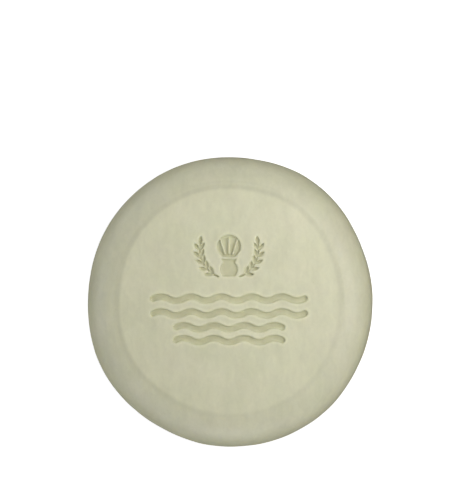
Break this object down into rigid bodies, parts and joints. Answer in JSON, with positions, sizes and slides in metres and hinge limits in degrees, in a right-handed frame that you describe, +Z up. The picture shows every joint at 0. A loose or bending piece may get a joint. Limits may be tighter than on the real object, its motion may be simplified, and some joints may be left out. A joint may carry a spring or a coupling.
{
  "type": "shaving soap puck",
  "caption": "Round pressed puck of shaving soap with soft rims, a shallow ring groove on each face and a sunk shaving-brush stamp.",
  "frame": {"origin": "centre of the flat lower face, where the puck rests", "axes": "+Z up through the puck's thickness, towards the stamped face; +Y towards the stamp's brush; +X to the right of the stamp"},
  "size_m": [0.073, 0.0742, 0.029],
  "materials": {
    "soap": "satin"
  },
  "bodies": {
    "root": {"soap_puck": "soap"}
  },
  "joints": []
}
